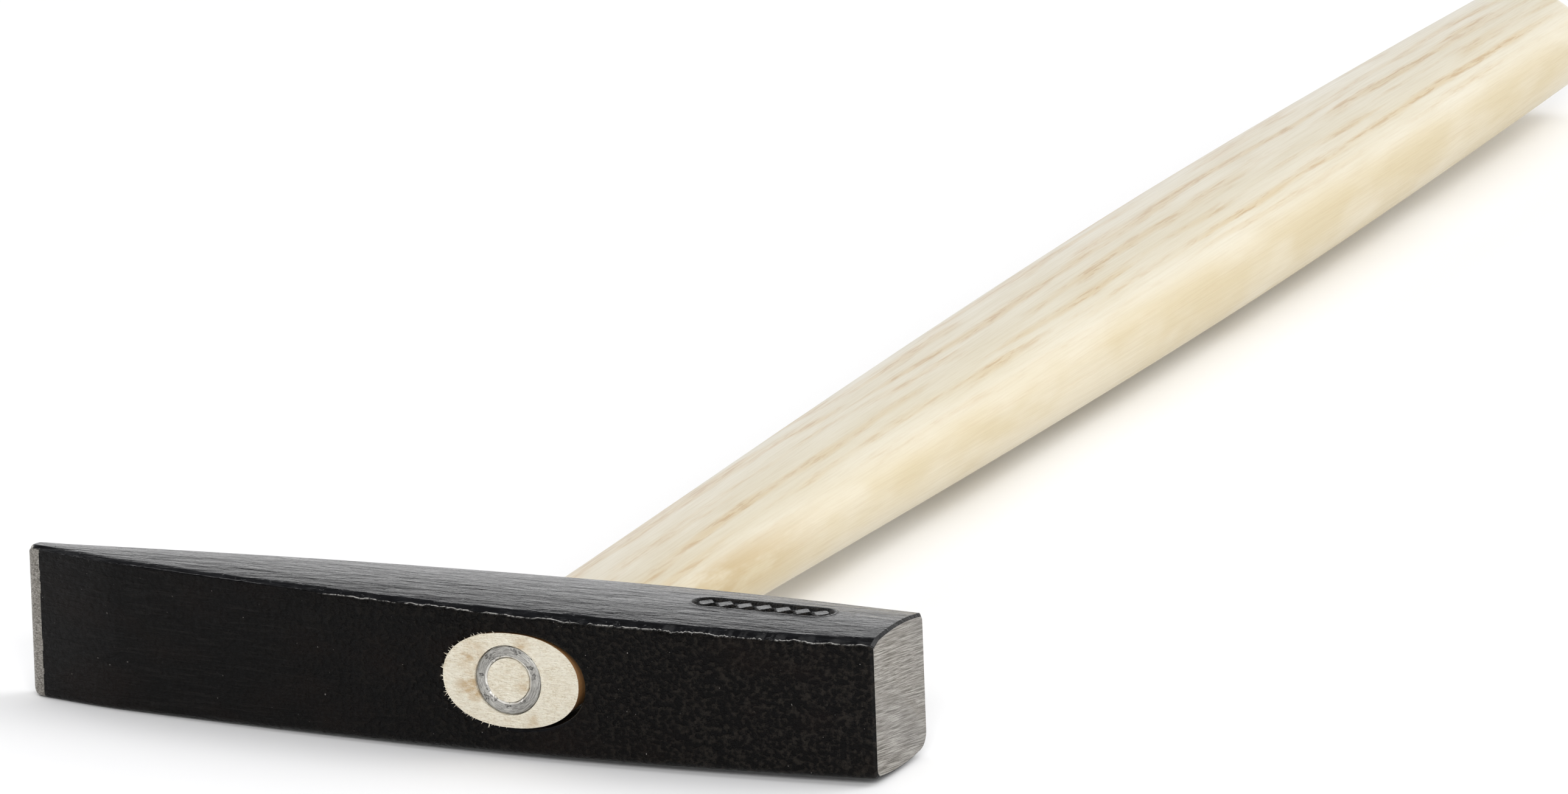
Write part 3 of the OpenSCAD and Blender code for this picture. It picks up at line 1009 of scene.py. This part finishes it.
def make_handle(material, end_material):
    """An oval that fills the eye, swells to the grip, then narrows and rounds off at the butt."""
    tree, t, size, sockets = geometry_tree("handle_maker", HANDLE_SIZES)
    grid, along, angle = unit_sheet(t, HANDLE_STATIONS, HANDLE_AROUND)
    last = HANDLE_STATIONS - 1
    body = t.span(along, 1 / last, 1 - 1 / last, kind="LINEAR")
    eased = t.math("SINE", t.math("MULTIPLY", body, math.pi / 2))
    length = t.math("SUBTRACT", size["Butt Y"], size["Tenon Y"])
    y = t.math("ADD", size["Tenon Y"], t.math("MULTIPLY", eased, length))
    # The first and last rings shrink to a point, which closes the ends.
    at_first = t.math("LESS_THAN", along, 0.5 / last)
    at_last = t.math("GREATER_THAN", along, 1 - 0.5 / last)
    kept = t.math("SUBTRACT", 1.0, t.math("ADD", at_first, at_last))

    swelling = t.span(y, size["Head Half Depth"], size["Grip Y"], kind="LINEAR")
    swelling = t.math("POWER", t.math("SINE", t.math("MULTIPLY", swelling, math.pi / 2)), SWELL_TAPER)
    narrowing = t.math("POWER", t.span(y, size["Grip Y"], size["Butt Y"], kind="LINEAR"), BUTT_TAPER)
    waist = t.math("DIVIDE", y, size["Head Half Depth"])
    waist = t.math("SUBTRACT", 1.0, t.math("MULTIPLY", waist, waist))
    waist = t.math("MULTIPLY", waist, EYE_WAIST * MM / 2)
    in_front = t.math("LESS_THAN", y, 0.0)
    from_end = t.math("ADD", t.math("SUBTRACT", y, size["Butt Y"]), size["Butt Rounding"])
    from_end = t.math("MAXIMUM", 0.0, from_end)
    square = t.math("POWER", size["Butt Rounding"], 2.0)
    square = t.math("SUBTRACT", square, t.math("POWER", from_end, 2.0))
    rounding = t.math("SUBTRACT", size["Butt Rounding"], t.math("SQRT", t.math("MAXIMUM", square, 0.0)))

    def half_size(neck, grip, butt, eye, gap):
        grown = t.math("MULTIPLY_ADD", swelling, t.math("SUBTRACT", size[grip], size[neck]), size[neck])
        grown = t.math("MULTIPLY_ADD", narrowing, t.math("SUBTRACT", size[butt], grown), grown)
        grown = t.math("MULTIPLY", grown, 0.5)
        held = t.math("SUBTRACT", t.math("MULTIPLY", size[eye], 0.5), waist)
        held = t.math("SUBTRACT", held, (gap / 2 + TENON_CLEARANCE) * MM)
        # Past the head nothing holds the wood in, so the limit there is a metre wider.
        past = t.math("GREATER_THAN", y, size["Head Half Depth"])
        limit = t.math("ADD", past, t.math("MINIMUM", held, grown))
        inside = t.math("MINIMUM", grown, limit)
        result = t.math("MULTIPLY_ADD", in_front, t.math("SUBTRACT", held, inside), inside)
        return t.math("MULTIPLY", t.math("SUBTRACT", result, rounding), kept)

    half_x = half_size("Neck Width", "Grip Width", "Butt Width", "Eye Length", EYE_GAP)
    half_z = half_size("Neck Thickness", "Grip Thickness", "Butt Thickness", "Eye Width", 0.0)
    x = t.math("MULTIPLY_ADD", oval_wave(t, "COSINE", angle), half_x, size["Axis X"])
    z = t.math("MULTIPLY_ADD", oval_wave(t, "SINE", angle), half_z, size["Axis Z"])
    blank = merged(t, set_position(t, grid, t.xyz(x, y, z)))
    kerf = ring_sheet(t, size, KERF_GAP * MM, KERF_ABOVE * MM, 0.0)
    fibres = rim_fibres(t, size)
    cut = t.tree.nodes.new("GeometryNodeMeshBoolean")
    cut.operation = "DIFFERENCE"
    cut.solver = "EXACT"
    t.tree.links.new(blank, cut.inputs[0])
    t.tree.links.new(kerf, cut.inputs[1])
    whole = t.tree.nodes.new("GeometryNodeJoinGeometry")
    t.tree.links.new(fibres, whole.inputs[0])
    t.tree.links.new(cut.outputs[0], whole.inputs[0])
    end_tree(t, whole.outputs[0], material)
    handle = grow("ash_handle", tree, sockets, HANDLE_SIZES)
    face_outwards(handle, HANDLE_SHARP_DEGREES, HANDLE_MERGE * MM)
    handle.data.materials.clear()
    handle.data.materials.append(material)
    handle.data.materials.append(end_material)
    for polygon in handle.data.polygons:
        centre = polygon.center / MM
        sawn = centre.y < TENON_Y + SAWN_AT_TENON or centre.y > BUTT_Y - SAWN_AT_BUTT
        from_axis = math.hypot(centre.x - RING_CENTRE[0], centre.z - RING_CENTRE[2])
        in_kerf = centre.y < RIM_Y + RING_DEPTH and from_axis < RING_OUTER / 2 + KERF_GAP * 2
        polygon.material_index = 1 if sawn or in_kerf else 0
    return handle


# ---------------------------------------------------------------------------------------------
# Pieces on the frame
# ---------------------------------------------------------------------------------------------

head = make_head([
    lacquer_on_sides(),
    run_out_lacquer("lacquer_on_cheeks", 0.50, 0.16, CHEEK_TINT),
    ground_steel(),
    # The rolled edge's copy, darkened by its tint as painted shade.
    run_out_lacquer("lacquer_on_roll", 0.16, 0.12, ROLL_SHADED_TINT, 1.3),
])
ring = make_ring(driven_steel())
handle = make_handle(oiled_ash(), end_grain())

for piece, node in ((head, "head"), (ring, "ring_wedge"), (handle, "handle")):
    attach(piece, "root")
    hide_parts(node)

# ---------------------------------------------------------------------------------------------
# Floor, light and camera
# ---------------------------------------------------------------------------------------------


FLOOR_REACH = 14.0


def make_floor():
    mesh = bpy.data.meshes.new("studio_floor")
    low = CAD_BOX[0][2]
    corners = [(x * FLOOR_REACH, y * FLOOR_REACH, low) for x, y in ((-1, -1), (1, -1), (1, 1), (-1, 1))]
    mesh.from_pydata(corners, [], [(0, 1, 2, 3)])
    floor = placed("studio_floor", mesh)
    material = bpy.data.materials.new("white_paper")
    material.use_nodes = True
    shader = material.node_tree.nodes["Principled BSDF"]
    shader.inputs["Base Color"].default_value = (0.93, 0.93, 0.93, 1.0)
    shader.inputs["Roughness"].default_value = 0.9
    shader.inputs["Specular IOR Level"].default_value = 0.2
    mesh.materials.append(material)


def make_light(name, place, target, size, watts):
    light = bpy.data.lights.new(name, "AREA")
    light.shape = "RECTANGLE"
    light.size, light.size_y = size
    light.energy = watts
    lamp = placed(name, light)
    lamp.location = place
    lamp.rotation_euler = (Vector(target) - Vector(place)).to_track_quat("-Z", "Y").to_euler()


def make_world():
    """A pale room that is brightest low down behind the hammer, dim overhead and in front of it."""
    world = bpy.data.worlds.new("studio")
    bpy.context.scene.world = world
    world.use_nodes = True
    t = Tree(world.node_tree)
    sky = world.node_tree.nodes["Background"]
    way = t.add("ShaderNodeTexCoord", out="Generated")
    back = t.span(t.axis(way, 1), -0.4, 0.7)
    high = t.span(t.axis(way, 2), 0.40, 0.62)
    low = t.blend(t.span(t.axis(way, 2), -0.02, 0.25), (1.7, 1.7, 1.7), (1.15, 1.15, 1.15))
    tone = t.blend(back, (0.40, 0.40, 0.40), low)
    tone = t.blend(high, tone, (0.13, 0.13, 0.14))
    world.node_tree.links.new(tone, sky.inputs["Color"])
    sky.inputs["Strength"].default_value = 1.0


CAMERA_YAW = 24.70
CAMERA_PITCH = 15.34
CAMERA_ROLL = -2.115
CAMERA_DISTANCE = 4.98
CAMERA_LENS = 830.0
CAMERA_SENSOR = 36.0
CAMERA_SEES_TO = 100.0
CAMERA_AIM = Vector((-0.0230, 0.0155, 0.0366))


def make_camera():
    data = bpy.data.cameras.new("camera")
    data.lens = CAMERA_LENS
    data.sensor_width = CAMERA_SENSOR
    data.clip_end = CAMERA_SEES_TO
    camera = placed("camera", data)
    yaw, pitch = math.radians(CAMERA_YAW), math.radians(CAMERA_PITCH)
    flat = math.cos(pitch)
    forward = Vector((-math.sin(yaw) * flat, math.cos(yaw) * flat, -math.sin(pitch)))
    level = forward.cross(Vector((0, 0, 1))).normalized()
    right = Matrix.Rotation(math.radians(-CAMERA_ROLL), 3, forward) @ level
    up = right.cross(forward)
    turn = Matrix((right, up, -forward)).transposed().to_4x4()
    camera.matrix_world = Matrix.Translation(CAMERA_AIM - forward * CAMERA_DISTANCE) @ turn
    bpy.context.scene.camera = camera


# Name, place, the point it faces, its two sides, and watts.
LIGHTS = (
    ("top_light", (0.3, 0.1, 2.1), (0, 0.1, 0), (2.4, 2.4), 19.0),
    ("right_light", (1.5, 0.7, 1.2), (0, 0.1, 0), (1.6, 1.6), 20.0),
    ("left_light", (-1.7, 0.6, 1.0), (0, 0.1, 0), (1.2, 1.2), 8.0),
    ("front_light", (0.95, -2.0, 1.3), (0, 0.0, 0), (1.2, 0.8), 38.0),
    ("low_front_light", (0.6, -2.05, 0.25), (0, 0.0, 0), (0.45, 0.3), 12.0),
)

make_floor()
make_world()
for light in LIGHTS:
    make_light(*light)
make_camera()
bpy.context.scene.view_settings.view_transform = "Standard"
